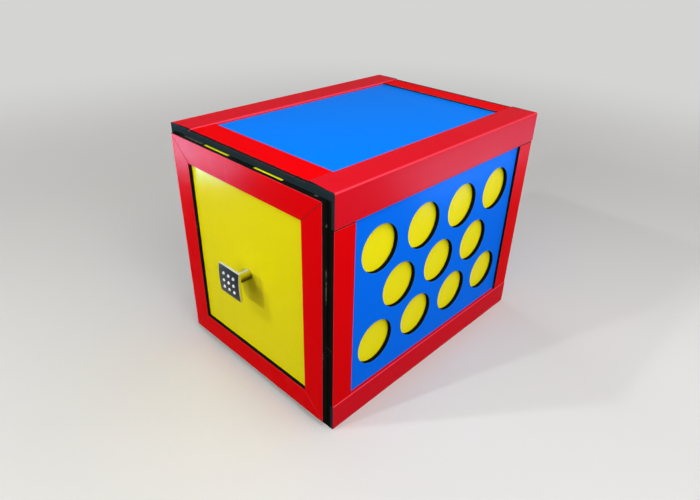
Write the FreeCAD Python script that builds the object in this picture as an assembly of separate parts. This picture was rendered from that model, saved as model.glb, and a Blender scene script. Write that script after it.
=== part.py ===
"""Magic drawer box: a casing of thin painted boards, a sleeve-like drawer and a hidden tray inside it.

The origin is the middle of the casing's base, X to the right, Y to the rear, Z up, in millimetres.
The drawer is a sleeve with no back wall. The tray lies inside it and can be held in the casing by
the turn catch in the back board, so that the drawer comes out either full or empty.
"""
import FreeCAD, Part
import math
import os

os.makedirs("parts", exist_ok=True)

# ---- driving dimensions ----
casing_width = 185.5
casing_depth = 247.2
casing_height = 200.0
casing_board = 4.0              # top, bottom and back boards
side_board = 3.4                # the pierced side boards
base_thickness = 2.0            # flat plate under the bottom board
moulding_thickness = 2.8        # side leg of a top moulding, and the foot rails
moulding_top_thickness = 2.0    # top leg of a top moulding
stile_thickness = 2.4           # uprights on the sides and the frame on the back
strip_thickness = 1.4           # cross strips on the top
moulding_width = 25.4           # of the side leg
moulding_top_width = 26.0       # of the top leg
foot_height = 23.5              # of the foot rails
stile_width = 19.8
stile_gap = 0.7                 # shadow line between a side's upright and the moulding over it
front_strip_width = 24.0
back_strip_width = 22.0
arris_radius = 1.3              # outer corner of a moulding
inner_radius = 1.7              # inner top edge of a moulding
small_radius = 0.7              # lower edge of a moulding, and the rails
strip_radius = 1.2              # front top edge of the front strip
edge_softening = 0.3            # outer edges of strips, stiles, frame pieces and hole rims

hole_radius = 19.1
hole_pitch = 50.3               # along a row
row_pitch = 41.8                # between rows
hole_margin = 5.0               # least distance from a hole to the frame round its panel

slide_clearance = 0.3           # under the drawer and under the tray
drawer_side_play = 0.4
drawer_top_play = 0.3
drawer_rear_play = 0.5
front_proud = 4.5               # how far the drawer front stands out of the casing
drawer_board = 3.0
frame_thickness = 3.0
frame_width = 20.0
rim_width = 10.0                # of the drawer's top rim, inside the sides
finger_pitch = 30.0
finger_margin = 10.0            # least plain stretch at both ends of a finger joint

tray_board = 3.0
tray_side_play = 0.6
tray_top_play = 0.5

knob_size = 25.2
knob_lift = 1.3                 # knob's axis above the middle of the box
knob_plate_thickness = 3.0      # at its middle
knob_bow = 0.9                  # how far the plate's middle stands before its top and bottom
knob_reach = 19.0               # drawer front board to the plate's foremost line
knob_edge_radius = 0.4
stem_radius = 4.3
stone_radius = 1.7
stone_pitch = 6.1
stone_rows = 3
stone_sink = 0.6                # depth of a stone's socket
stone_height = 0.8              # how far a stone stands out
stone_table = 0.9               # radius of its flat top
fit_clearance = 0.05            # radial, round screws, stones, bushes and shafts

screw_radius = 2.0
screw_depth = 9.0               # thread inside the stem
screw_head_radius = 3.8
screw_head_height = 2.1
washer_radius = 5.0
washer_thickness = 0.8
screw_hole_play = 0.2
screw_head_room = 0.6           # from the knob's screw head to the tray
cross_recess = 0.9              # width of a screw's cross recess
cross_reach = 0.6               # the recess's arms, as a share of the head's radius

spindle_radius = 2.5
collar_radius = 4.0
collar_thickness = 0.6
bush_radius = 4.5
bush_flange_radius = 8.0
bush_flange_thickness = 0.8
catch_gap = 0.1                 # between the bush and the turn button, and the collar and the board
collar_room = 0.3               # from the collar to the tray's back
catch_bar_gap = 0.4             # between the keeper plate and the bar
button_length = 30.0
button_width = 10.0
button_thickness = 1.4
bar_length = 26.0
bar_width = 6.0
bar_thickness = 1.6
slot_play = 1.0                 # round the bar, in the tray's back
keeper_end_margin = 12.0        # keeper plate beyond the ends of its slot
keeper_edge_margin = 10.0       # keeper plate above and below its slot
keeper_thickness = 1.0
keeper_screw_inset = 5.0        # from the plate's ends
keeper_screw_radius = 1.2
keeper_head_radius = 2.3
keeper_head_height = 1.2

# ---- planes that pieces share ----
half_width = casing_width / 2
front = -casing_depth / 2
back = casing_depth / 2
moulding_inner = half_width - moulding_top_width        # inner edge of the top mouldings
moulding_low = casing_height - moulding_width           # lower edge of the top mouldings
board_half = half_width - moulding_thickness            # outer face of the side boards
board_top = casing_height - moulding_top_thickness      # outer face of the top board
cavity_half = board_half - side_board
floor_top = base_thickness + casing_board
ceiling = board_top - casing_board
back_outer = back - stile_thickness                     # outer face of the back board
cavity_back = back_outer - casing_board
middle_height = casing_height / 2
knob_height = middle_height + knob_lift

drawer_face = front - front_proud
board_front = drawer_face + frame_thickness             # front face of the drawer's front board
board_rear = board_front + drawer_board
drawer_half = cavity_half - drawer_side_play
drawer_inner = drawer_half - drawer_board
drawer_bottom = floor_top + slide_clearance
drawer_top = ceiling - drawer_top_play
drawer_floor_top = drawer_bottom + drawer_board
rim_bottom = drawer_top - drawer_board
drawer_rear = cavity_back - drawer_rear_play

tray_half = drawer_inner - tray_side_play
tray_bottom = drawer_floor_top + slide_clearance
tray_top = rim_bottom - tray_top_play
collar_rear = cavity_back - catch_gap
collar_front = collar_rear - collar_thickness
tray_front = board_rear + washer_thickness + screw_head_height + screw_head_room
tray_rear = collar_front - collar_room
tray_inner_rear = tray_rear - tray_board
keeper_face = tray_inner_rear - keeper_thickness
bar_rear = keeper_face - catch_bar_gap
bar_front = bar_rear - bar_thickness
button_inner = back_outer + bush_flange_thickness + catch_gap
slot_half_length = bar_length / 2 + slot_play
slot_half_height = bar_width / 2 + slot_play
keeper_half_length = slot_half_length + keeper_end_margin
keeper_half_height = slot_half_height + keeper_edge_margin

ALONG_X = FreeCAD.Vector(1, 0, 0)
ALONG_Y = FreeCAD.Vector(0, 1, 0)
SAME_PLACE = 1e-6               # two coordinates closer than this are one


# ---- helpers ----
def save(node, shape):
    """Write one named piece."""
    shape.exportStep("parts/" + node + ".step")


def slab(x, y, z):
    """Rectangular block between (low, high) pairs on each axis."""
    corner = FreeCAD.Vector(x[0], y[0], z[0])
    return Part.makeBox(x[1] - x[0], y[1] - y[0], z[1] - z[0], corner)


def disc(radius, x, y, z):
    """Cylinder along Y, centred on (x, z), between the (low, high) pair y."""
    return Part.makeCylinder(radius, y[1] - y[0], FreeCAD.Vector(x, y[0], z), ALONG_Y)


def mirrored(shape):
    """The same piece for the other side of the box."""
    return shape.mirror(FreeCAD.Vector(0, 0, 0), ALONG_X)


def prism(points, y):
    """Block with an outline of (x, z) points, between the (low, high) pair y."""
    corners = [FreeCAD.Vector(px, y[0], pz) for px, pz in points + points[:1]]
    return Part.Face(Part.makePolygon(corners)).extrude(ALONG_Y * (y[1] - y[0]))


def round_long_edges(shape, places, radius):
    """Round the edges that run along Y through the (x, z) places."""
    chosen = []
    for edge in shape.Edges:
        ends = [vertex.Point for vertex in edge.Vertexes]
        for x, z in places:
            if all(abs(end.x - x) < SAME_PLACE and abs(end.z - z) < SAME_PLACE for end in ends):
                chosen.append(edge)
    return shape.makeFillet(radius, chosen)


def edges_at(shape, **levels):
    """The edges that lie at the given levels of the named axes."""
    chosen = shape.Edges
    for axis, level in levels.items():
        chosen = [edge for edge in chosen
                  if all(abs(getattr(vertex.Point, axis) - level) < SAME_PLACE for vertex in edge.Vertexes)]
    return chosen


def softened(shape, **levels):
    """Round the edges that lie in the plane where the named axis is at this level."""
    return shape.makeFillet(edge_softening, edges_at(shape, **levels))


def finger_spans(low, high):
    """Every second finger of a joint that is centred on its edge, as (low, high) pairs."""
    length = high - low - 2 * finger_margin
    count = max(3, 2 * int((length / finger_pitch - 1) / 2) + 1)
    step = min(finger_pitch, length / count)
    start = (low + high - count * step) / 2
    return [(start + i * step, start + (i + 1) * step) for i in range(1, count, 2)]


def fused(shape, tabs):
    """A board with its tabs on."""
    return shape.fuse(tabs).removeSplitter()


def bar_outline(length, width, y):
    """Flat bar along X with round ends, centred on the catch."""
    reach = (length - width) / 2
    half = width / 2
    bar = slab((-reach, reach), y, (middle_height - half, middle_height + half))
    ends = [disc(half, x, y, middle_height) for x in (-reach, reach)]
    return bar.fuse(ends).removeSplitter()


def pan_head(radius, height, x, y_seat, z):
    """Screw head that stands forwards (towards +Y) from its seat, with a cross recess."""
    head = disc(radius, x, (y_seat, y_seat + height), z)
    recess = (y_seat + height / 2, y_seat + height)
    long_half = radius * cross_reach
    half = cross_recess / 2
    for reach_x, reach_z in ((long_half, half), (half, long_half)):
        head = head.cut(slab((x - reach_x, x + reach_x), recess, (z - reach_z, z + reach_z)))
    return head


# ---- casing ----
def panel_holes():
    """Round holes in staggered rows, as cylinders through the right side board."""
    open_depth = casing_depth - 2 * (stile_width + hole_margin + hole_radius)
    open_height = casing_height - 2 * (moulding_width + hole_margin + hole_radius)
    columns = int(open_depth / hole_pitch) + 1
    rows = int(open_height / row_pitch) + 1
    holes = []
    for row in range(rows):
        count = columns - row % 2
        z = middle_height + (row - (rows - 1) / 2) * row_pitch
        for column in range(count):
            y = (column - (count - 1) / 2) * hole_pitch
            start = FreeCAD.Vector(cavity_half, y, z)
            holes.append(Part.makeCylinder(hole_radius, side_board, start, ALONG_X))
    return holes


def make_casing_boards():
    """The five boards of the box and the flat plate under it."""
    depth = (front, cavity_back)
    save("casing_top_board", slab((-board_half, board_half), depth, (ceiling, board_top)))
    save("casing_bottom_board", slab((-board_half, board_half), depth, (base_thickness, floor_top)))
    side = slab((cavity_half, board_half), depth, (floor_top, ceiling)).cut(panel_holes())
    rounds = [edge for edge in side.Edges if edge.isClosed()]
    rims = [edge for edge in rounds if edge.CenterOfMass.x > board_half - SAME_PLACE]
    side = side.makeFillet(edge_softening, rims)
    save("casing_right_board", side)
    save("casing_left_board", mirrored(side))
    rear = slab((-board_half, board_half), (cavity_back, back_outer), (base_thickness, board_top))
    bush_hole = disc(bush_radius + fit_clearance, 0, (cavity_back, back_outer), middle_height)
    save("casing_back_board", rear.cut(bush_hole))
    save("base_board", slab((-board_half, board_half), (front, back), (0, base_thickness)))


def make_long_rails():
    """Full-length corner mouldings along the top and flat rails along the foot."""
    top_leg = slab((moulding_inner, half_width), (front, back), (board_top, casing_height))
    side_leg = slab((board_half, half_width), (front, back), (moulding_low, casing_height))
    moulding = top_leg.fuse(side_leg).removeSplitter()
    moulding = round_long_edges(moulding, [(half_width, casing_height)], arris_radius)
    moulding = round_long_edges(moulding, [(moulding_inner, casing_height)], inner_radius)
    moulding = round_long_edges(moulding, [(half_width, moulding_low)], small_radius)
    save("top_right_moulding", moulding)
    save("top_left_moulding", mirrored(moulding))
    rail = slab((board_half, half_width), (front, back), (0, foot_height))
    rail = round_long_edges(rail, [(half_width, foot_height), (half_width, 0)], small_radius)
    save("bottom_right_rail", rail)
    save("bottom_left_rail", mirrored(rail))


def make_cross_strips():
    """Strips across the top, uprights on the sides and the frame on the back."""
    strip_depths = {
        "front": (front, front + front_strip_width),
        "back": (back - back_strip_width, back),
    }
    strip_top = board_top + strip_thickness
    for end, depth in strip_depths.items():
        across = slab((-moulding_inner, moulding_inner), depth, (board_top, strip_top))
        radius = strip_radius if end == "front" else edge_softening
        across = across.makeFillet(radius, edges_at(across, y=depth[0], z=strip_top))
        save("top_" + end + "_strip", across)
    stile_depths = {"front": (front, front + stile_width), "back": (back - stile_width, back)}
    stile_face = board_half + stile_thickness
    for end, depth in stile_depths.items():
        stile = slab((board_half, stile_face), depth, (foot_height, moulding_low - stile_gap))
        stile = softened(stile, x=stile_face)
        save("right_" + end + "_stile", stile)
        save("left_" + end + "_stile", mirrored(stile))
    depth = (back_outer, back)
    level_strips = {"top": (moulding_low, board_top), "bottom": (base_thickness, foot_height)}
    for place, height in level_strips.items():
        level = slab((-board_half, board_half), depth, height)
        save("back_" + place + "_strip", softened(level, y=back))
    upright = slab((board_half - stile_width, board_half), depth, (foot_height, moulding_low))
    upright = softened(upright, y=back)
    save("back_right_strip", upright)
    save("back_left_strip", mirrored(upright))


# ---- turn catch ----
def make_catch():
    """Brass turn button, shaft and cross bar, in a flanged bush through the back board."""
    barrel = disc(bush_radius, 0, (cavity_back, back_outer), middle_height)
    flange_depth = (back_outer, back_outer + bush_flange_thickness)
    flange = disc(bush_flange_radius, 0, flange_depth, middle_height)
    bore = disc(spindle_radius + fit_clearance, 0, (cavity_back, flange_depth[1]), middle_height)
    save("catch_bush", barrel.fuse(flange).removeSplitter().cut(bore))

    button_depth = (button_inner, button_inner + button_thickness)
    shaft = disc(spindle_radius, 0, (bar_front, button_depth[1]), middle_height)
    collar = disc(collar_radius, 0, (collar_front, collar_rear), middle_height)
    save("catch_spindle", shaft.fuse(collar).removeSplitter())

    eye_radius = spindle_radius + fit_clearance
    button = bar_outline(button_length, button_width, button_depth)
    save("catch_button", button.cut(disc(eye_radius, 0, button_depth, middle_height)))
    bar = bar_outline(bar_length, bar_width, (bar_front, bar_rear))
    save("catch_bar", bar.cut(disc(eye_radius, 0, (bar_front, bar_rear), middle_height)))


def catch_slot(y):
    """The opening that the bar passes when it lies level."""
    z = (middle_height - slot_half_height, middle_height + slot_half_height)
    return slab((-slot_half_length, slot_half_length), y, z)


# ---- drawer ----
def make_drawer_boards():
    """Front board, floor, sides and top rim, joined with fingers. There is no back wall."""
    height = (drawer_bottom, drawer_top)
    floor_height = (drawer_bottom, drawer_floor_top)
    rim_height = (rim_bottom, drawer_top)
    depth = (board_rear, drawer_rear)
    right_edge = (drawer_inner, drawer_half)
    front_spans = finger_spans(-drawer_half, drawer_half)
    side_spans = finger_spans(board_rear, drawer_rear)
    joints = {}
    for name, level in (("floor", floor_height), ("top_rim", rim_height)):
        joints[name] = {
            "front": [slab(x, (board_front, board_rear), level) for x in front_spans],
            "right": [slab(right_edge, y, level) for y in side_spans],
        }
        joints[name]["left"] = [mirrored(tab) for tab in joints[name]["right"]]

    floor = slab((-drawer_inner, drawer_inner), depth, floor_height)
    rim = slab((-drawer_inner, drawer_inner), depth, rim_height)
    rim_half = drawer_half - rim_width
    rim_depth = (board_rear + rim_width, drawer_rear - rim_width)
    rim = rim.cut(slab((-rim_half, rim_half), rim_depth, rim_height))
    for board, name in ((floor, "floor"), (rim, "top_rim")):
        tabs = joints[name]["front"] + joints[name]["right"] + joints[name]["left"]
        save("drawer_" + name, fused(board, tabs))

    corner_tabs = [slab(right_edge, (board_front, board_rear), z) for z in finger_spans(*height)]
    side = slab(right_edge, depth, height).cut(joints["floor"]["right"] + joints["top_rim"]["right"])
    side = fused(side, corner_tabs)
    save("drawer_right_side", side)
    save("drawer_left_side", mirrored(side))
    face = slab((-drawer_half, drawer_half), (board_front, board_rear), height)
    face = face.cut(joints["floor"]["front"] + joints["top_rim"]["front"])
    face = face.cut(corner_tabs + [mirrored(tab) for tab in corner_tabs])
    screw_hole = disc(screw_radius + screw_hole_play, 0, (board_front, board_rear), knob_height)
    save("drawer_front_board", face.cut(screw_hole))


def make_front_frame():
    """Four mitred mouldings round the drawer's front board."""
    x, low, high = drawer_half, drawer_bottom, drawer_top
    inner = x - frame_width
    inner_low = low + frame_width
    inner_high = high - frame_width
    depth = (drawer_face, board_front)
    outlines = {
        "top": [(-x, high), (x, high), (inner, inner_high), (-inner, inner_high)],
        "bottom": [(-x, low), (x, low), (inner, inner_low), (-inner, inner_low)],
        "left": [(-x, low), (-x, high), (-inner, inner_high), (-inner, inner_low)],
        "right": [(x, low), (x, high), (inner, inner_high), (inner, inner_low)],
    }
    for side, outline in outlines.items():
        save("front_frame_" + side, softened(prism(outline, depth), y=drawer_face))


# ---- knob ----
knob_face = board_front - knob_reach                    # foremost line of the plate
bow_radius = ((knob_size / 2) ** 2 + knob_bow ** 2) / (2 * knob_bow)
bow_centre = knob_face + bow_radius


def knob_plate():
    """Square plate with a flat back and a face bowed about a level axis."""
    half = knob_size / 2
    outline = [(knob_face + knob_bow, -half), (knob_face, 0), (knob_face + knob_bow, half)]
    rear = knob_face + knob_plate_thickness
    outline += [(rear, half), (rear, -half)]
    low, middle, high, rear_high, rear_low = [
        FreeCAD.Vector(-half, y, knob_height + height) for y, height in outline]
    edges = [
        Part.Arc(low, middle, high).toShape(),
        Part.LineSegment(high, rear_high).toShape(),
        Part.LineSegment(rear_high, rear_low).toShape(),
        Part.LineSegment(rear_low, low).toShape(),
    ]
    plate = Part.Face(Part.Wire(edges)).extrude(ALONG_X * knob_size)
    return plate.makeFillet(knob_edge_radius, plate.Edges)


def stone(radius, y_seat):
    """Round stone in its socket: a straight girdle and a bevelled crown."""
    girdle = disc(radius, 0, (knob_face, y_seat), knob_height)
    crown_tip = FreeCAD.Vector(0, knob_face, knob_height)
    crown = Part.makeCone(radius, stone_table, stone_height, crown_tip, -ALONG_Y)
    return girdle.fuse(crown).removeSplitter()


def set_on_plate(shape, row, column):
    """Move a shape from the plate's middle to its place in the grid, square to the plate."""
    offset = (stone_rows - 1) / 2
    turn = -(row - offset) * stone_pitch / bow_radius
    axis_point = FreeCAD.Vector(0, bow_centre, knob_height)
    placed = shape.copy()
    placed.rotate(axis_point, ALONG_X, math.degrees(turn))
    placed.translate(ALONG_X * (column - offset) * stone_pitch)
    return placed


def make_knob():
    """Cast knob with nine set stones, held by a screw from inside the drawer."""
    stem_start = knob_face + knob_plate_thickness / 2
    stem = disc(stem_radius, 0, (stem_start, board_front), knob_height)
    body = knob_plate().fuse(stem).removeSplitter()
    grid = [(row, column) for row in range(stone_rows) for column in range(stone_rows)]
    seat = knob_face + stone_sink
    socket = disc(stone_radius + fit_clearance, 0, (knob_face - stone_height, seat), knob_height)
    body = body.cut([set_on_plate(socket, row, column) for row, column in grid])
    thread_depth = (board_front - screw_depth, board_front)
    thread = disc(screw_radius + fit_clearance, 0, thread_depth, knob_height)
    save("knob_body", body.cut(thread))
    single = stone(stone_radius, seat)
    stones = [set_on_plate(single, row, column) for row, column in grid]
    save("knob_crystals", Part.makeCompound(stones))

    washer_depth = (board_rear, board_rear + washer_thickness)
    washer = disc(washer_radius, 0, washer_depth, knob_height)
    washer_hole = disc(screw_radius + screw_hole_play, 0, washer_depth, knob_height)
    save("knob_washer", washer.cut(washer_hole))
    tip = board_front - screw_depth + fit_clearance
    shank = disc(screw_radius, 0, (tip, washer_depth[1]), knob_height)
    head = pan_head(screw_head_radius, screw_head_height, 0, washer_depth[1], knob_height)
    save("knob_screw", shank.fuse(head).removeSplitter())


# ---- tray ----
def make_tray():
    """Open box inside the drawer, with finger joints at every corner."""
    height = (tray_bottom, tray_top)
    floor_height = (tray_bottom, tray_bottom + tray_board)
    inner_half = tray_half - tray_board
    inner_front = tray_front + tray_board
    inner_depth = (inner_front, tray_inner_rear)
    right_edge = (inner_half, tray_half)
    ends = {"front": (tray_front, inner_front), "back": (tray_inner_rear, tray_rear)}

    floor_side_tabs = [slab(right_edge, y, floor_height) for y in finger_spans(*inner_depth)]
    side = slab(right_edge, inner_depth, height).cut(floor_side_tabs)
    floor = slab((-inner_half, inner_half), inner_depth, floor_height)
    floor = fused(floor, floor_side_tabs + [mirrored(tab) for tab in floor_side_tabs])
    corner_spans = finger_spans(*height)
    for end, depth in ends.items():
        floor_tabs = [slab(x, depth, floor_height) for x in finger_spans(-inner_half, inner_half)]
        corner_tabs = [slab(right_edge, depth, z) for z in corner_spans]
        floor = fused(floor, floor_tabs)
        side = fused(side, corner_tabs)
        wall = slab((-tray_half, tray_half), depth, height)
        wall = wall.cut(floor_tabs + corner_tabs + [mirrored(tab) for tab in corner_tabs])
        if end == "back":
            screw_holes = [keeper_screw_hole(x) for x in keeper_screw_places()]
            wall = wall.cut([catch_slot(depth)] + screw_holes)
        save("tray_" + end, wall)
    save("tray_floor", floor)
    save("tray_right_side", side)
    save("tray_left_side", mirrored(side))


def keeper_screw_places():
    """X of the keeper plate's two screws."""
    reach = keeper_half_length - keeper_screw_inset
    return (-reach, reach)


def keeper_screw_hole(x):
    """Hole for one keeper screw, through the plate and the tray's back."""
    return disc(keeper_screw_radius + fit_clearance, x, (keeper_face, tray_rear), middle_height)


def make_keeper():
    """Slotted brass plate on the inside of the tray's back, with two screws."""
    depth = (keeper_face, tray_inner_rear)
    z = (middle_height - keeper_half_height, middle_height + keeper_half_height)
    plate = slab((-keeper_half_length, keeper_half_length), depth, z)
    plate = plate.cut([catch_slot(depth)] + [keeper_screw_hole(x) for x in keeper_screw_places()])
    save("keeper_plate", plate)
    screws = []
    for x in keeper_screw_places():
        shank = disc(keeper_screw_radius, x, (keeper_face, tray_rear), middle_height)
        head = pan_head(keeper_head_radius, keeper_head_height, x, keeper_face, middle_height)
        head = head.mirror(FreeCAD.Vector(0, keeper_face, 0), ALONG_Y)
        screws.append(shank.fuse(head).removeSplitter())
    save("keeper_screws", Part.makeCompound(screws))


make_casing_boards()
make_long_rails()
make_cross_strips()
make_catch()
make_drawer_boards()
make_front_frame()
make_knob()
make_tray()
make_keeper()
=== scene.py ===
import math

import bmesh
import bpy
from mathutils import Matrix, Quaternion, Vector


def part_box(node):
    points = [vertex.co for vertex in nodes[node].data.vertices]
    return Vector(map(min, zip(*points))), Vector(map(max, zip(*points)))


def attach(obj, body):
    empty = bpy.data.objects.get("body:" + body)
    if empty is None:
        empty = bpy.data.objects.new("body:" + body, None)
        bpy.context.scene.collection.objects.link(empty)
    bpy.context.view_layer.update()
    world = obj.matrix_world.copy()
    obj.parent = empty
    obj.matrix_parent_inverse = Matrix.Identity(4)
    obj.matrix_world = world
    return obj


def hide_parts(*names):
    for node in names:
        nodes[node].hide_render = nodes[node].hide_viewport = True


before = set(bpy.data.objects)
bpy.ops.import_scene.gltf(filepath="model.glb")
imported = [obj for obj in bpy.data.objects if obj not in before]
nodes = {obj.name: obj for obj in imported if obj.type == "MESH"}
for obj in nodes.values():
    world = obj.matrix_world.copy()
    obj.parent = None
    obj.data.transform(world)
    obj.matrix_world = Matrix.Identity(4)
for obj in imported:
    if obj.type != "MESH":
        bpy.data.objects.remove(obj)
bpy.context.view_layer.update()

# Magic drawer box: painted boards and mouldings, a cast knob with set stones, a brass turn catch.
# Everything is in metres, in the frame of the construction model.

MILLIMETRE = 0.001

# ---- places taken from the construction ----
CASING_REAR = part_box("top_right_moulding")[1].y
FRAME_HALF_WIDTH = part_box("front_frame_right")[1].x
FRAME_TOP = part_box("front_frame_top")[1].z
FRAME_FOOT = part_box("front_frame_bottom")[0].z
FRAME_MIDDLE = (FRAME_TOP + FRAME_FOOT) / 2
FRAME_HALF_HEIGHT = (FRAME_TOP - FRAME_FOOT) / 2

# ---- paint and metal colours, linear ----
RED = (0.82, 0.0015, 0.0035, 1)
MOULDING_RED = (0.68, 0.007, 0.018, 1)
# SHADED_SIDE_RED: the same red paint made darker for the side faces, as painted shade
SHADED_SIDE_RED = (0.75, 0.0015, 0.0035, 1)
# PALE_RED, PALE_BLUE and PALE_YELLOW go on the rounded arrises: partly rubbed-thin paint, partly painted
# highlight
PALE_RED = (0.92, 0.085, 0.14, 1)
BLUE = (0.0005, 0.214, 0.97, 1)
# SHADED_SIDE_BLUE: the same blue paint made darker for the side faces, as painted shade
SHADED_SIDE_BLUE = (0.002, 0.160, 0.93, 1)
PALE_BLUE = (0.03, 0.32, 0.96, 1)
YELLOW = (0.95, 0.85, 0.004, 1)
PALE_YELLOW = (0.92, 0.84, 0.12, 1)
EDGE_BLACK = (0.006, 0.007, 0.006, 1)
# LIT_EDGE_BLACK: the black edge paint made lighter and bluish on the top pieces and moulding ends, as painted
# light and reflection
LIT_EDGE_BLACK = (0.016, 0.030, 0.036, 1)
# CREPT_BLACK_AND_GAP_SHADE: black paint crept over the ends, also the side boards' band under the stiles,
# which paints the shade in the gaps above them
CREPT_BLACK_AND_GAP_SHADE = (0.007, 0.011, 0.013, 1)
RAW_BOARD = (0.12, 0.13, 0.085, 1)
# PAINTED_DARK_REFLECTION: the knob's front faces painted dark, a painted reflection of dark surroundings on
# the chrome
PAINTED_DARK_REFLECTION = (0.025, 0.035, 0.041, 1)
CHROME = (0.78, 0.79, 0.81, 1)
# PAINTED_HIGHLIGHT_CHROME: pale colour on the knob's top faces, a painted highlight
PAINTED_HIGHLIGHT_CHROME = (0.62, 0.67, 0.64, 1)
# UNDERSIDE_SHADE_BROWN: dark brown on the stem's underside, painted shade
UNDERSIDE_SHADE_BROWN = (0.13, 0.075, 0.022, 1)
BRASS = (0.72, 0.47, 0.14, 1)
ZINC = (0.58, 0.59, 0.62, 1)
# STONE_WHITE and STONE_SHADE: near-white stones, a painted reflection of their lit mirrored backs
STONE_WHITE = (0.93, 0.96, 1.0, 1)
STONE_SHADE = (0.86, 0.91, 0.98, 1)

# ---- how strongly the finishes show, as shares ----
DEEP_PAINT = 0.94     # the darker tone of a paint
DEEP_METAL = 0.86     # the darker tone of a polishing line
RUBBED_AND_HIGHLIT_ARRIS = 0.55   # paler colour on the rounded arrises: rubbed-thin paint and painted highlight
DUST_DARKNESS = 0.35
BARE_CHIPS = 0.5      # bare board in the chips of a cut edge
SMUDGE_ROUGHNESS = 0.08
CUT_ROUGHNESS = 0.60
FIBRE_ROUGHNESS = 0.25
CREPT_ROUGHNESS = 0.75
FACE_ROUGHNESS = 0.38
HIGHLIGHT_SCATTER = 0.8    # how much of their mirror the top faces lose under the painted highlight

# ---- directions that a painted face can look in ----
RIGHT = (1, 0, 0)
LEFT = (-1, 0, 0)
FRONT = (0, -1, 0)
REAR = (0, 1, 0)
UP = (0, 0, 1)


# ---- small helpers for node trees ----
def add(tree, kind, inputs=None, **settings):
    """One node with its settings, and its inputs as values or as sockets to link."""
    made = tree.nodes.new(kind)
    for name, value in settings.items():
        setattr(made, name, value)
    for name, value in (inputs or {}).items():
        if isinstance(value, bpy.types.NodeSocket):
            tree.links.new(value, made.inputs[name])
        else:
            made.inputs[name].default_value = value
    return made


def maths(tree, operation, first, second=0.0, clamp=False):
    """The result of one Math node."""
    return add(tree, "ShaderNodeMath", {0: first, 1: second}, operation=operation, use_clamp=clamp).outputs[0]


def between(tree, value, low, high):
    """A soft step of a value, from 0 at low to 1 at high."""
    ends = {"Value": value, "From Min": low, "From Max": high}
    return add(tree, "ShaderNodeMapRange", ends, interpolation_type="SMOOTHSTEP").outputs[0]


def blend_values(tree, factor, first, second):
    """First where the factor is 0, second where it is 1."""
    return add(tree, "ShaderNodeMix", {0: factor, 2: first, 3: second}, data_type="FLOAT").outputs[0]


def blend_colours(tree, factor, first, second):
    """First colour where the factor is 0, second where it is 1."""
    return add(tree, "ShaderNodeMix", {0: factor, 6: first, 7: second}, data_type="RGBA").outputs[2]


def noise(tree, vector, scale, detail=2.0, distortion=0.0):
    """A noise value over the surface."""
    ends = {"Vector": vector, "Scale": scale, "Detail": detail, "Distortion": distortion}
    return add(tree, "ShaderNodeTexNoise", ends).outputs[0]


def stretched(tree, vector, scale):
    """Coordinates scaled by a different amount on each axis."""
    return add(tree, "ShaderNodeMapping", {"Vector": vector, "Scale": scale}).outputs[0]


def effect(name, inputs, outputs):
    """An empty shader node group with named inputs (name, type, value) and value outputs."""
    tree = bpy.data.node_groups.new(name, "ShaderNodeTree")
    for label, kind, value in inputs:
        socket = tree.interface.new_socket(label, in_out="INPUT", socket_type=kind)
        socket.default_value = value
    for label in outputs:
        tree.interface.new_socket(label, in_out="OUTPUT", socket_type="NodeSocketFloat")
    return tree, tree.nodes.new("NodeGroupInput"), tree.nodes.new("NodeGroupOutput")


def put(tree, group, **inputs):
    """A node group placed in a material, with its own values."""
    made = tree.nodes.new("ShaderNodeGroup")
    made.node_tree = group
    for name, value in inputs.items():
        made.inputs[name.replace("_", " ")].default_value = value
    return made


# ---- effects that several finishes share ----
def make_faces_effect():
    """Which faces look along an axis, and which are the rounded arrises between faces."""
    inputs = [("Axis", "NodeSocketVector", (0, 0, 1)), ("Both Sides", "NodeSocketFloat", 0.0)]
    tree, ends, result = effect("faces_along_axis", inputs, ["Facing", "Arris"])
    normal = add(tree, "ShaderNodeTexCoord").outputs["Normal"]
    along = add(tree, "ShaderNodeVectorMath", {0: normal, 1: ends.outputs["Axis"]}, operation="DOT_PRODUCT")
    along = along.outputs["Value"]
    either = maths(tree, "ABSOLUTE", along)
    along = blend_values(tree, ends.outputs["Both Sides"], along, either)
    tree.links.new(between(tree, along, 0.60, 0.72), result.inputs["Facing"])
    size = add(tree, "ShaderNodeVectorMath", {0: normal}, operation="ABSOLUTE").outputs[0]
    parts = add(tree, "ShaderNodeSeparateXYZ", {0: size}).outputs
    most = maths(tree, "MAXIMUM", maths(tree, "MAXIMUM", parts[0], parts[1]), parts[2])
    tree.links.new(between(tree, most, 0.995, 0.93), result.inputs["Arris"])
    return tree


def make_film_effect():
    """Sprayed paint: slow changes of tone, hand smudges, and a fine orange-peel height."""
    inputs = [("Peel Scale", "NodeSocketFloat", 1100.0), ("Smudge Scale", "NodeSocketFloat", 26.0)]
    tree, ends, result = effect("paint_film", inputs, ["Tone", "Smudge", "Height"])
    place = add(tree, "ShaderNodeTexCoord").outputs["Object"]
    tree.links.new(noise(tree, place, 9.0, 3.0), result.inputs["Tone"])
    smudge = noise(tree, place, ends.outputs["Smudge Scale"], 5.0, 0.8)
    tree.links.new(between(tree, smudge, 0.48, 0.78), result.inputs["Smudge"])
    peel = noise(tree, place, ends.outputs["Peel Scale"], 1.5)
    slow = noise(tree, place, 140.0, 1.0)
    tree.links.new(blend_values(tree, 0.35, peel, slow), result.inputs["Height"])
    return tree


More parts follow.
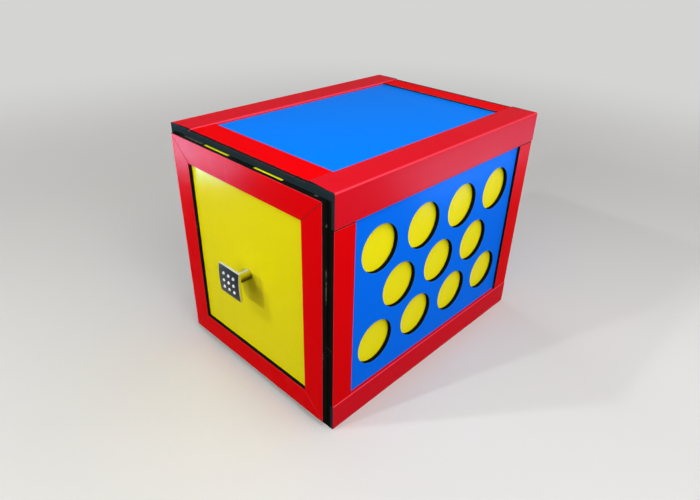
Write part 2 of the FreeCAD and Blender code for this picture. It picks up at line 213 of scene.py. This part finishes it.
def make_cut_effect():
    """Cut board edge under black paint: short fibres and a few chips of bare board."""
    inputs = [("Fibre Scale", "NodeSocketFloat", 900.0)]
    tree, ends, result = effect("cut_board_edge", inputs, ["Fibre", "Chips"])
    place = add(tree, "ShaderNodeTexCoord").outputs["Object"]
    tree.links.new(noise(tree, place, ends.outputs["Fibre Scale"], 4.0), result.inputs["Fibre"])
    rare = noise(tree, place, 34.0, 1.0)
    small = noise(tree, place, 420.0, 2.0)
    both = maths(tree, "MULTIPLY", between(tree, rare, 0.60, 0.72), between(tree, small, 0.60, 0.68))
    tree.links.new(both, result.inputs["Chips"])
    return tree


def make_dust_effect():
    """Sparse dust specks and tiny nibs caught in the paint."""
    inputs = [("Spacing", "NodeSocketFloat", 240.0)]
    tree, ends, result = effect("dust_specks", inputs, ["Specks"])
    place = add(tree, "ShaderNodeTexCoord").outputs["Object"]
    cells = add(tree, "ShaderNodeTexVoronoi", {"Vector": place, "Scale": ends.outputs["Spacing"]})
    sparse = between(tree, noise(tree, place, 60.0, 1.0), 0.55, 0.66)
    near = between(tree, cells.outputs["Distance"], 0.11, 0.05)
    tree.links.new(maths(tree, "MULTIPLY", near, sparse), result.inputs["Specks"])
    return tree


def make_metal_effect():
    """Fine polishing lines along one axis, and a film of fingerprints."""
    inputs = [("Line Scale", "NodeSocketVector", (300, 300, 6000))]
    tree, ends, result = effect("worked_metal", inputs, ["Lines", "Film"])
    place = add(tree, "ShaderNodeTexCoord").outputs["Object"]
    lines = noise(tree, stretched(tree, place, ends.outputs["Line Scale"]), 1.0, 3.0)
    tree.links.new(lines, result.inputs["Lines"])
    tree.links.new(between(tree, noise(tree, place, 230.0, 4.0, 0.6), 0.45, 0.75), result.inputs["Film"])
    return tree


def make_wrap_effect():
    """Black over a piece's ends, less towards the box's outer corners: edge paint that has crept over the
    ends, and on the side boards a band under the stiles that paints the shade in the gaps above them.
    """
    inputs = [("End", "NodeSocketFloat", CASING_REAR), ("Reach", "NodeSocketFloat", 0.0023),
              ("Corner Reach", "NodeSocketFloat", 0.0023)]
    tree, ends, result = effect("edge_paint_creep_and_gap_shade", inputs, ["Wrap"])
    place = add(tree, "ShaderNodeTexCoord").outputs["Object"]
    size = add(tree, "ShaderNodeVectorMath", {0: place}, operation="ABSOLUTE").outputs[0]
    across, along, _ = add(tree, "ShaderNodeSeparateXYZ", {0: size}).outputs
    corner = between(tree, across, 0.068, 0.0915)
    reach = blend_values(tree, corner, ends.outputs["Reach"], ends.outputs["Corner Reach"])
    wobble = maths(tree, "MULTIPLY_ADD", noise(tree, place, 170.0, 2.0), 0.0012)
    wobble.node.inputs[2].default_value = -0.0006
    from_end = maths(tree, "SUBTRACT", ends.outputs["End"], maths(tree, "ADD", along, wobble))
    past = maths(tree, "SUBTRACT", from_end, reach)
    tree.links.new(between(tree, past, 0.0003, -0.0003), result.inputs["Wrap"])
    return tree


def make_patch_effect():
    """A soft-edged patch round a place, broken up by small noise."""
    inputs = [("Centre", "NodeSocketVector", (0, 0, 0)), ("Reach", "NodeSocketVector", (0.01, 0.01, 0.01))]
    tree, ends, result = effect("worn_patch", inputs, ["Patch"])
    place = add(tree, "ShaderNodeTexCoord").outputs["Object"]
    away = add(tree, "ShaderNodeVectorMath", {0: place, 1: ends.outputs["Centre"]}, operation="SUBTRACT")
    share = add(tree, "ShaderNodeVectorMath", {0: away.outputs[0], 1: ends.outputs["Reach"]},
                operation="DIVIDE").outputs[0]
    share = add(tree, "ShaderNodeVectorMath", {0: share}, operation="ABSOLUTE").outputs[0]
    parts = add(tree, "ShaderNodeSeparateXYZ", {0: share}).outputs
    most = maths(tree, "MAXIMUM", maths(tree, "MAXIMUM", parts[0], parts[1]), parts[2])
    inside = between(tree, most, 1.0, 0.8)
    broken = between(tree, noise(tree, place, 520.0, 3.0), 0.36, 0.52)
    tree.links.new(maths(tree, "MULTIPLY", inside, broken), result.inputs["Patch"])
    return tree


def make_mitre_effect():
    """The joint lines where the frame's four pieces meet at 45 degrees, strongest at the top right."""
    inputs = [("Centre", "NodeSocketVector", (0, 0, FRAME_MIDDLE)),
              ("Half Width", "NodeSocketFloat", FRAME_HALF_WIDTH),
              ("Half Height", "NodeSocketFloat", FRAME_HALF_HEIGHT)]
    tree, ends, result = effect("mitre_joint_lines", inputs, ["Line"])
    place = add(tree, "ShaderNodeTexCoord").outputs["Object"]
    away = add(tree, "ShaderNodeVectorMath", {0: place, 1: ends.outputs["Centre"]}, operation="SUBTRACT")
    across, _, above = add(tree, "ShaderNodeSeparateXYZ", {0: away.outputs[0]}).outputs
    in_side = maths(tree, "SUBTRACT", ends.outputs["Half Width"], maths(tree, "ABSOLUTE", across))
    in_end = maths(tree, "SUBTRACT", ends.outputs["Half Height"], maths(tree, "ABSOLUTE", above))
    off_line = maths(tree, "ABSOLUTE", maths(tree, "SUBTRACT", in_side, in_end))
    line = between(tree, off_line, 0.00045, 0.00020)
    right = between(tree, across, -0.01, 0.01)
    high = between(tree, above, -0.01, 0.01)
    strength = maths(tree, "MULTIPLY_ADD", maths(tree, "MULTIPLY", right, high), 0.82)
    strength.node.inputs[2].default_value = 0.02
    tree.links.new(maths(tree, "MULTIPLY", line, strength), result.inputs["Line"])
    return tree


FACES = make_faces_effect()
FILM = make_film_effect()
CUT = make_cut_effect()
DUST = make_dust_effect()
METAL = make_metal_effect()
WRAP = make_wrap_effect()
PATCH = make_patch_effect()
MITRE = make_mitre_effect()


# ---- finishes ----
def start_material(name, **constants):
    """A material with its Principled shader, and the shader's constant inputs."""
    made = bpy.data.materials.new(name)
    made.use_nodes = True
    shader = made.node_tree.nodes["Principled BSDF"]
    for label, value in constants.items():
        shader.inputs[label.replace("_", " ")].default_value = value
    return made, made.node_tree, shader


def bump(tree, height, strength, distance):
    """Normals from a height."""
    ends = {"Height": height, "Strength": strength, "Distance": distance}
    return add(tree, "ShaderNodeBump", ends).outputs[0]


def make_paint(name, paint, pale, axis, both_sides=0.0, ends_only=False, roughness=0.28, specular=0.007,
               creep=None, worn=(), mitred=False, black_ahead=None, black=EDGE_BLACK):
    """Sprayed board or moulding. The faces along the axis are painted and the cut edges are black;
    with ends_only, the faces along the axis are the cut ones and all the rest is painted. The rounded
    arrises are paler, partly rubbed-thin paint and partly painted highlight. The black creeps over the
    ends, and on the side boards it is a band under the stiles that paints the shade in the gaps above
    them; it wears off in patches, marks the mitre joints, and covers all that lies ahead of a given depth."""
    made, tree, shader = start_material(name, Specular_IOR_Level=specular)
    faces = put(tree, FACES, Axis=axis, Both_Sides=both_sides)
    painted = faces.outputs["Facing"]
    if ends_only:
        painted = maths(tree, "SUBTRACT", 1.0, painted, clamp=True)
    if black_ahead is not None:
        place = add(tree, "ShaderNodeTexCoord").outputs["Object"]
        depth = add(tree, "ShaderNodeSeparateXYZ", {0: place}).outputs[1]
        behind = between(tree, depth, black_ahead - 0.0002, black_ahead + 0.0002)
        painted = maths(tree, "MULTIPLY", painted, behind)
    film = put(tree, FILM)
    cut = put(tree, CUT)
    dust = put(tree, DUST)

    deep = tuple(part * DEEP_PAINT for part in paint[:3]) + (1,)
    colour = blend_colours(tree, film.outputs["Tone"], paint, deep)
    # the rounded arrises turn paler: partly rubbed-thin paint, partly painted highlight
    rubbed_and_highlit = maths(tree, "MULTIPLY", faces.outputs["Arris"], RUBBED_AND_HIGHLIT_ARRIS)
    colour = blend_colours(tree, rubbed_and_highlit, colour, pale)
    specks = maths(tree, "MULTIPLY", dust.outputs["Specks"], DUST_DARKNESS)
    colour = blend_colours(tree, specks, colour, EDGE_BLACK)
    if mitred:
        joints = put(tree, MITRE)
        colour = blend_colours(tree, joints.outputs["Line"], colour, EDGE_BLACK)
    if creep:
        wrap = put(tree, WRAP, Reach=creep[0], Corner_Reach=creep[1])
        open_face = put(tree, FACES, Axis=creep[2]).outputs["Facing"]
        covered = maths(tree, "MULTIPLY", wrap.outputs["Wrap"], open_face)
        colour = blend_colours(tree, covered, colour, CREPT_BLACK_AND_GAP_SHADE)
    chips = maths(tree, "MULTIPLY", cut.outputs["Chips"], BARE_CHIPS)
    edge = blend_colours(tree, chips, black, RAW_BOARD)
    for centre, reach in worn:
        patch = put(tree, PATCH, Centre=centre, Reach=reach)
        edge = blend_colours(tree, patch.outputs["Patch"], edge, RAW_BOARD)
    colour = blend_colours(tree, painted, edge, colour)
    tree.links.new(colour, shader.inputs["Base Color"])

    satin = maths(tree, "MULTIPLY_ADD", film.outputs["Smudge"], SMUDGE_ROUGHNESS)
    satin.node.inputs[2].default_value = roughness
    dull = maths(tree, "MULTIPLY_ADD", cut.outputs["Fibre"], FIBRE_ROUGHNESS)
    dull.node.inputs[2].default_value = CUT_ROUGHNESS
    if creep:
        satin = blend_values(tree, covered, satin, CREPT_ROUGHNESS)
    tree.links.new(blend_values(tree, painted, dull, satin), shader.inputs["Roughness"])
    height = blend_values(tree, painted, cut.outputs["Fibre"], film.outputs["Height"])
    tree.links.new(bump(tree, height, 0.10, 0.0002), shader.inputs["Normal"])
    return made


def make_metal(name, colour, roughness, line_scale, film_depth=0.10, face=None, under=None, groove=0.05):
    """Polished or plated metal. With a face colour, the faces that look to the front are painted dark, a
    painted reflection of dark surroundings, and those that look up are painted pale, a painted highlight;
    with an under colour, the underside is painted dark brown as painted shade and the top gets the same
    painted highlight.
    Where the highlight is painted, the metal partly loses its mirror."""
    made, tree, shader = start_material(name, Metallic=1.0)
    worked = put(tree, METAL, Line_Scale=line_scale)
    deep = tuple(part * DEEP_METAL for part in colour[:3]) + (1,)
    tone = blend_colours(tree, worked.outputs["Lines"], colour, deep)
    gloss = maths(tree, "MULTIPLY_ADD", worked.outputs["Film"], film_depth)
    gloss.node.inputs[2].default_value = roughness
    # front faces painted dark as a painted reflection, top faces pale as a painted highlight
    if face:
        worn = put(tree, FACES, Axis=UP).outputs["Facing"]
        front = put(tree, FACES, Axis=FRONT).outputs["Facing"]
        tone = blend_colours(tree, front, tone, face)
        gloss = blend_values(tree, maths(tree, "MAXIMUM", front, worn), gloss, FACE_ROUGHNESS)
    # underside painted dark brown as painted shade, top pale as a painted highlight
    if under:
        normal = add(tree, "ShaderNodeTexCoord").outputs["Normal"]
        upward = add(tree, "ShaderNodeSeparateXYZ", {0: normal}).outputs[2]
        tone = blend_colours(tree, between(tree, upward, -0.30, 1.05), under, tone)
        worn = between(tree, upward, 0.90, 0.985)
    # the painted highlight: pale colour and less mirror on the top faces
    if face or under:
        tone = blend_colours(tree, worn, tone, PAINTED_HIGHLIGHT_CHROME)
        mirror = maths(tree, "MULTIPLY_ADD", worn, -HIGHLIGHT_SCATTER)
        mirror.node.inputs[2].default_value = 1.0
        tree.links.new(mirror, shader.inputs["Metallic"])
    tree.links.new(tone, shader.inputs["Base Color"])
    tree.links.new(gloss, shader.inputs["Roughness"])
    tree.links.new(bump(tree, worked.outputs["Lines"], groove, 0.00005), shader.inputs["Normal"])
    return made


def make_crystal():
    """Small cut stones with mirrored backs, made opaque and near-white rather than clear: the white is a
    painted reflection of their lit mirrored backs.
    """
    made, tree, shader = start_material("foil_backed_crystal", Metallic=0.35, Specular_IOR_Level=0.9)
    film = put(tree, METAL).outputs["Film"]
    tree.links.new(blend_colours(tree, film, STONE_WHITE, STONE_SHADE), shader.inputs["Base Color"])
    gloss = maths(tree, "MULTIPLY_ADD", film, 0.06)
    gloss.node.inputs[2].default_value = 0.10
    tree.links.new(gloss, shader.inputs["Roughness"])
    return made


# ---- where the drawer's black edge paint ends and where it has worn off: centres and reaches ----
DRAWER_BLACK_DEPTH = -0.1219
front_board_wear = [
    ((-0.0605, -0.1236, FRAME_TOP), (0.0135, 0.0040, 0.0030)),
    ((0.0770, -0.1243, FRAME_TOP), (0.0016, 0.0008, 0.0030)),
    ((0.0860, -0.1243, 0.1760), (0.0010, 0.0007, 0.0011)),
]
side_tab_wear = [
    ((0.0860, -0.1245, 0.1300), (0.0010, 0.0006, 0.0150)),
]
red_for = {
    # the top strips' cut edges take the lighter black: painted light
    "top": make_paint("red_strip_top", RED, PALE_RED, UP, specular=0.002, creep=(0.0023, 0.0023, UP),
                      black=LIT_EDGE_BLACK),
    # the side strips take the darker red: painted shade on the side faces
    "right": make_paint("red_strip_right", SHADED_SIDE_RED, PALE_RED, RIGHT),
    "left": make_paint("red_strip_left", SHADED_SIDE_RED, PALE_RED, LEFT),
    "back": make_paint("red_strip_back", RED, PALE_RED, REAR),
    "front": make_paint("red_frame_front", RED, PALE_RED, FRONT, roughness=0.24, mitred=True),
}
# the moulding ends take the lighter black: painted light
moulding_red = make_paint("red_moulding", MOULDING_RED, PALE_RED, REAR, 1.0, True, 0.34, 0.012,
                          creep=(0.0019, 0.0002, UP), black=LIT_EDGE_BLACK)
# the side boards take the darker blue: painted shade on the side faces
blue_for = {
    # the top board's cut edges take the lighter black: painted light
    "top": make_paint("blue_board_top", BLUE, PALE_BLUE, UP, black=LIT_EDGE_BLACK),
    # on the side boards the black band under the stiles is painted shade for the gap above each stile
    "right": make_paint("blue_board_right", SHADED_SIDE_BLUE, PALE_BLUE, RIGHT, creep=(0.0187, 0.0187, RIGHT)),
    "left": make_paint("blue_board_left", SHADED_SIDE_BLUE, PALE_BLUE, LEFT, creep=(0.0187, 0.0187, LEFT)),
    "back": make_paint("blue_board_back", BLUE, PALE_BLUE, REAR),
}
yellow_for = {
    "drawer_side": make_paint("yellow_drawer_side", YELLOW, PALE_YELLOW, RIGHT, 1.0, False, 0.15, 0.04,
                              worn=side_tab_wear, black_ahead=DRAWER_BLACK_DEPTH),
    "side": make_paint("yellow_board_side", YELLOW, PALE_YELLOW, RIGHT, 1.0, False, 0.15, 0.04),
    "end": make_paint("yellow_board_end", YELLOW, PALE_YELLOW, REAR, 1.0, False, 0.16, 0.025,
                      worn=front_board_wear),
    "level": make_paint("yellow_board_level", YELLOW, PALE_YELLOW, UP, 1.0, False, 0.15, 0.04),
}
black_board = make_paint("black_board", EDGE_BLACK, EDGE_BLACK, UP, 1.0, False, 0.5)
# the knob plate's front faces are painted dark as a painted reflection, its top faces pale as a painted
# highlight
chrome = make_metal("chrome_plate", CHROME, 0.07, (900, 900, 900), face=PAINTED_DARK_REFLECTION)
# the stem's underside is painted dark brown as painted shade, its top pale as a painted highlight
turned_chrome = make_metal("turned_chrome", CHROME, 0.10, (60, 4200, 60), under=UNDERSIDE_SHADE_BROWN, groove=0.3)
brass = make_metal("satin_brass", BRASS, 0.24, (400, 400, 5000))
zinc = make_metal("zinc_plate", ZINC, 0.28, (2500, 2500, 2500))
crystal = make_crystal()


# ---- finishes on the construction's own pieces ----
def finish_node(name, material):
    """Give a construction piece its finish."""
    slots = nodes[name].data.materials
    slots.clear()
    slots.append(material)


def finish_casing():
    """Blue boards, red strips, stiles and mouldings, black base."""
    for place in ("top", "right", "left", "back"):
        finish_node("casing_" + place + "_board", blue_for[place])
    for name in ("casing_bottom_board", "base_board"):
        finish_node(name, black_board)
    for side in ("left", "right"):
        finish_node("top_" + side + "_moulding", moulding_red)
        finish_node("bottom_" + side + "_rail", moulding_red)
        finish_node("back_" + side + "_strip", red_for["back"])
        for end in ("front", "back"):
            finish_node(side + "_" + end + "_stile", red_for[side])
    for end in ("front", "back"):
        finish_node("top_" + end + "_strip", red_for["top"])
    for level in ("top", "bottom"):
        finish_node("back_" + level + "_strip", red_for["back"])


def finish_drawer_and_tray():
    """Yellow boards with black cut edges, and the drawer's red frame."""
    for box in ("drawer", "tray"):
        for side in ("left", "right"):
            finish_node(box + "_" + side + "_side", yellow_for["drawer_side" if box == "drawer" else "side"])
        finish_node(box + "_floor", yellow_for["level"])
    finish_node("drawer_front_board", yellow_for["end"])
    finish_node("tray_front", yellow_for["end"])
    finish_node("tray_back", yellow_for["end"])
    finish_node("drawer_top_rim", yellow_for["level"])
    for side in ("top", "bottom", "left", "right"):
        finish_node("front_frame_" + side, red_for["front"])


def finish_metalwork():
    """Brass catch and keeper, zinc screws."""
    for name in ("catch_bar", "catch_bush", "catch_button", "catch_spindle", "keeper_plate"):
        finish_node(name, brass)
    for name in ("keeper_screws", "knob_screw", "knob_washer"):
        finish_node(name, zinc)


# ---- knob ----
knob_low, knob_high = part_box("knob_body")
KNOB_HALF = (knob_high.x - knob_low.x) / 2
KNOB_HEIGHT = (knob_high.z + knob_low.z) / 2
KNOB_FACE = knob_low.y
KNOB_FOOT = knob_high.y
PLATE_THICKNESS = 3.0 * MILLIMETRE
PLATE_BOW = 0.9 * MILLIMETRE
PLATE_EDGE = 0.4 * MILLIMETRE
STEM_RADIUS = 4.3 * MILLIMETRE
STONE_RADIUS = 1.7 * MILLIMETRE
STONE_GIRDLE = STONE_RADIUS * 0.84
SETTING_RADIUS = STONE_RADIUS * 1.08
SETTING_SINK = 0.11 * MILLIMETRE
SETTING_THICKNESS = 0.121 * MILLIMETRE
STONE_TABLE = 0.9 * MILLIMETRE
STONE_CROWN = 0.78 * MILLIMETRE
STONE_PITCH = 6.1 * MILLIMETRE
STONE_ROWS = 3
BOW_RADIUS = (KNOB_HALF ** 2 + PLATE_BOW ** 2) / (2 * PLATE_BOW)


def piece(name, bm, *materials, smooth_angle=math.radians(35)):
    """A finished mesh object at the origin."""
    bmesh.ops.recalc_face_normals(bm, faces=bm.faces)
    mesh = bpy.data.meshes.new(name)
    bm.to_mesh(mesh)
    bm.free()
    for material in materials:
        mesh.materials.append(material)
    mesh.shade_smooth()
    mesh.set_sharp_from_angle(angle=smooth_angle)
    made = bpy.data.objects.new(name, mesh)
    bpy.context.scene.collection.objects.link(made)
    return made


def sharp_edges(bm, angle=math.radians(60)):
    """Edges where two faces meet at more than this angle."""
    return [edge for edge in bm.edges if edge.is_manifold and edge.calc_face_angle() > angle]


def soften(bm, edges, width, segments=3):
    """Round the given edges."""
    bmesh.ops.bevel(bm, geom=edges, offset=width, segments=segments, profile=0.5,
                    affect="EDGES", material=-1)


def bow_depth(height):
    """How far the bowed face lies behind its foremost line, at a height from the middle."""
    return BOW_RADIUS - math.sqrt(BOW_RADIUS ** 2 - height ** 2)


def make_knob_body():
    """Square plate with a bowed face and softened edges, and a stem with a cove behind the plate."""
    bm = bmesh.new()
    size = Matrix.Diagonal((2 * KNOB_HALF, PLATE_THICKNESS, 2 * KNOB_HALF, 1))
    bmesh.ops.create_cube(bm, size=1.0, matrix=size)
    uprights = [edge for edge in bm.edges
                if abs(edge.verts[0].co.z - edge.verts[1].co.z) > KNOB_HALF]
    bmesh.ops.subdivide_edges(bm, edges=uprights, cuts=23, use_grid_fill=True)
    for corner in bm.verts:
        if corner.co.y < 0:
            corner.co.y += bow_depth(corner.co.z)
    soften(bm, sharp_edges(bm), PLATE_EDGE)
    middle = Vector((0, KNOB_FACE + PLATE_THICKNESS / 2, KNOB_HEIGHT))
    bmesh.ops.translate(bm, verts=bm.verts, vec=middle)

    plate_back = KNOB_FACE + PLATE_THICKNESS
    cove = 0.8 * MILLIMETRE
    rim = 0.25 * MILLIMETRE
    profile = [(0, plate_back - rim), (STEM_RADIUS + cove, plate_back - rim),
               (STEM_RADIUS + cove * 0.35, plate_back + cove * 0.35),
               (STEM_RADIUS, plate_back + cove), (STEM_RADIUS, KNOB_FOOT - rim),
               (STEM_RADIUS - rim, KNOB_FOOT), (0, KNOB_FOOT)]
    corners = [bm.verts.new((0, depth, KNOB_HEIGHT + radius)) for radius, depth in profile]
    line = [bm.edges.new(pair) for pair in zip(corners, corners[1:])]
    plate_faces = set(bm.faces)
    bmesh.ops.spin(bm, geom=corners + line, cent=(0, 0, KNOB_HEIGHT), axis=(0, 1, 0),
                   angle=math.tau, steps=72, use_merge=True)
    bmesh.ops.remove_doubles(bm, verts=bm.verts, dist=MILLIMETRE / 1000)
    for face in bm.faces:
        face.material_index = 0 if face in plate_faces else 1
    return piece("knob_cast", bm, chrome, turned_chrome)


def stone_places():
    """Where each stone sits: its point on the bowed face, turned square to it."""
    offset = (STONE_ROWS - 1) / 2
    for row in range(STONE_ROWS):
        angle = (row - offset) * STONE_PITCH / BOW_RADIUS
        height = BOW_RADIUS * math.sin(angle)
        for column in range(STONE_ROWS):
            point = Vector(((column - offset) * STONE_PITCH, KNOB_FACE + bow_depth(height),
                            KNOB_HEIGHT + height))
            upright = Matrix.Rotation(math.radians(90) - angle, 4, "X")
            yield Matrix.Translation(point) @ upright


def make_stones():
    """Nine round stones: closed ten-sided crowns with a flat table."""
    bm = bmesh.new()
    for place in stone_places():
        lift = Matrix.Translation((0, 0, STONE_CROWN / 2))
        bmesh.ops.create_cone(bm, cap_ends=True, segments=10, radius1=STONE_GIRDLE,
                              radius2=STONE_TABLE, depth=STONE_CROWN, matrix=place @ lift)
    return piece("set_stones", bm, crystal, smooth_angle=math.radians(5))


def make_settings():
    """A thin plated disc under each stone, let into the knob's face and a little wider than the stone."""
    bm = bmesh.new()
    for place in stone_places():
        disc = bmesh.ops.create_circle(bm, cap_ends=True, segments=32, radius=SETTING_RADIUS,
                                       matrix=place @ Matrix.Translation((0, 0, -SETTING_SINK)))
        face = disc["verts"][0].link_faces[0]
        raised = bmesh.ops.extrude_face_region(bm, geom=[face], use_keep_orig=True)
        top = [item for item in raised["geom"] if isinstance(item, bmesh.types.BMVert)]
        lift = place.to_3x3() @ Vector((0, 0, SETTING_THICKNESS))
        bmesh.ops.translate(bm, verts=top, vec=lift)
    return piece("stone_settings", bm, chrome)


def make_knob():
    """The knob's cast body, its stones and their settings."""
    body = make_knob_body()
    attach(body, "drawer")
    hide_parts("knob_body")
    stones = make_stones()
    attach(stones, "drawer")
    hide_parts("knob_crystals")
    settings = make_settings()
    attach(settings, "drawer")


# ---- camera, floor and light ----
FLOOR_PALE = (0.66, 0.66, 0.655, 1)
FLOOR_BOUNCE = (0.07, 0.07, 0.07, 1)
BACKDROP = (0.66, 0.66, 0.655, 1)
UPPER_BACKDROP = (0.14, 0.145, 0.15, 1)
WORLD_LIGHT = (0.150, 0.138, 0.128, 1)
KEY_LIGHT = (0.96, 1.0, 1.0)
FILL_LIGHT = (1.0, 0.86, 0.70)
SHEEN_LIGHT = (0.25, 0.62, 1.0)
KNOB_PLACE = (0, -0.142, 0.101)
STRIP_WIDTH = 0.05
STRIP_SPREAD = math.radians(40)


def aim(item, place, target):
    """Put a lamp or camera at a place and point it at a target."""
    item.location = place
    item.rotation_mode = "QUATERNION"
    item.rotation_quaternion = (Vector(target) - Vector(place)).to_track_quat("-Z", "Y")


def make_camera():
    """A 28.6 mm lens in front of the box's right front corner, looking down on it."""
    lens = bpy.data.cameras.new("camera")
    lens.lens = 28.587
    lens.sensor_width = 36.0
    camera = bpy.data.objects.new("camera", lens)
    bpy.context.scene.collection.objects.link(camera)
    azimuth, elevation, roll = math.radians(43.451), math.radians(30.407), math.radians(1.494)
    back = Vector((math.sin(azimuth) * math.cos(elevation), -math.cos(azimuth) * math.cos(elevation),
                   math.sin(elevation)))
    camera.location = (0.3065, -0.3351, 0.3381)
    camera.rotation_mode = "QUATERNION"
    camera.rotation_quaternion = (-back).to_track_quat("-Z", "Y") @ Quaternion((0, 0, 1), roll)
    bpy.context.scene.camera = camera


def seen_rays(tree):
    """1 for the rays of the eye, metal and glass, 0 for the rays that carry light to the paint."""
    rays = add(tree, "ShaderNodeLightPath").outputs
    seen = maths(tree, "MAXIMUM", rays["Is Camera Ray"], rays["Is Glossy Ray"])
    return maths(tree, "MAXIMUM", seen, rays["Is Transmission Ray"])


def make_floor():
    """A wide, plain, pale floor that runs out into the backdrop's colour and sends little light back."""
    bm = bmesh.new()
    bmesh.ops.create_grid(bm, x_segments=1, y_segments=1, size=20.0)
    bmesh.ops.translate(bm, verts=bm.verts, vec=(0, 0, -0.2 * MILLIMETRE))
    made, tree, shader = start_material("pale_floor", Specular_IOR_Level=0.0, Roughness=0.9)
    seen = seen_rays(tree)
    colour = blend_colours(tree, seen, FLOOR_BOUNCE, FLOOR_PALE)
    tree.links.new(colour, shader.inputs["Base Color"])
    place = add(tree, "ShaderNodeTexCoord").outputs["Object"]
    flat = stretched(tree, place, (1, 1, 0))
    away = add(tree, "ShaderNodeVectorMath", {0: flat}, operation="LENGTH").outputs["Value"]
    far = maths(tree, "MULTIPLY", between(tree, away, 0.35, 1.3), seen)
    glow = add(tree, "ShaderNodeEmission", {"Color": BACKDROP, "Strength": 1.0})
    mixed = add(tree, "ShaderNodeMixShader", {0: far, 1: shader.outputs[0], 2: glow.outputs[0]})
    output = tree.nodes["Material Output"]
    tree.links.new(mixed.outputs[0], output.inputs["Surface"])
    floor = piece("floor", bm, made)


def make_world():
    """Dim even light all round, and for the eye, metal and glass a backdrop that is pale and darkens
    higher up."""
    world = bpy.data.worlds.new("studio")
    bpy.context.scene.world = world
    world.use_nodes = True
    tree = world.node_tree
    background = tree.nodes["Background"]
    direction = add(tree, "ShaderNodeTexCoord").outputs["Generated"]
    height = add(tree, "ShaderNodeSeparateXYZ", {0: direction}).outputs[2]
    high = between(tree, height, 0.12, 0.34)
    backdrop = blend_colours(tree, high, BACKDROP, UPPER_BACKDROP)
    colour = blend_colours(tree, seen_rays(tree), WORLD_LIGHT, backdrop)
    tree.links.new(colour, background.inputs["Color"])
    background.inputs["Strength"].default_value = 1.0


def add_lamp(name, place, size, watts, target=(0, 0, 0.1), colour=(1, 1, 1)):
    """A soft square lamp that the camera doesn't see."""
    lamp = bpy.data.lights.new(name, "AREA")
    lamp.shape = "RECTANGLE"
    lamp.size = size
    lamp.size_y = size
    lamp.energy = watts
    lamp.color = colour
    made = bpy.data.objects.new(name, lamp)
    bpy.context.scene.collection.objects.link(made)
    aim(made, place, target)
    made.visible_camera = False
    return made


def add_sheen_strip(name, place, size, watts, target, tilt):
    """A low bluish strip, tilted, with a narrow spread, that only shows in reflections."""
    strip = add_lamp(name, place, size, watts, target, SHEEN_LIGHT)
    strip.rotation_quaternion = strip.rotation_quaternion @ Quaternion((0, 0, 1), math.radians(tilt))
    strip.data.size_y = STRIP_WIDTH
    strip.data.spread = STRIP_SPREAD
    strip.visible_diffuse = False


def make_lamps():
    """Two front lamps for the knob's shadows, soft ones on the other sides, and two low strips
    for the sheen."""
    add_lamp("front_lamp_low", (-0.132, -0.788, 0.556), 0.03, 1.90, KNOB_PLACE, KEY_LIGHT)
    add_lamp("front_lamp_high", (-0.275, -0.599, 0.699), 0.03, 1.74, KNOB_PLACE, KEY_LIGHT)
    add_lamp("right_near_lamp", (0.36, -0.22, 0.56), 0.3, 1.32)
    add_lamp("right_far_lamp", (0.50, 0.25, 0.56), 0.4, 1.40)
    add_lamp("right_lamp", (1.05, -0.10, 0.45), 0.6, 4.3)
    fills = [
        ("left_fill", (-2.0, 0.30, 0.42), 21, (1, 1, 1)),
        ("rear_fill", (0.20, 2.1, 0.42), 21, (1, 1, 1)),
        ("front_fill", (0.30, -2.0, 0.60), 8, FILL_LIGHT),
    ]
    for name, place, watts, colour in fills:
        add_lamp(name, place, 1.0, watts, colour=colour).visible_glossy = False
    add_sheen_strip("left_sheen_strip", (-0.299, -0.272, 0.087), 0.11, 0.085, (-0.035, -0.128, 0.19), -31)
    add_sheen_strip("rear_sheen_strip", (0.230, 0.248, 0.087), 0.17, 0.085, (0.093, 0.095, 0.185), 31)


finish_casing()
finish_drawer_and_tray()
finish_metalwork()
make_knob()
make_camera()
make_floor()
make_world()
make_lamps()

bpy.context.scene.view_settings.view_transform = "Standard"
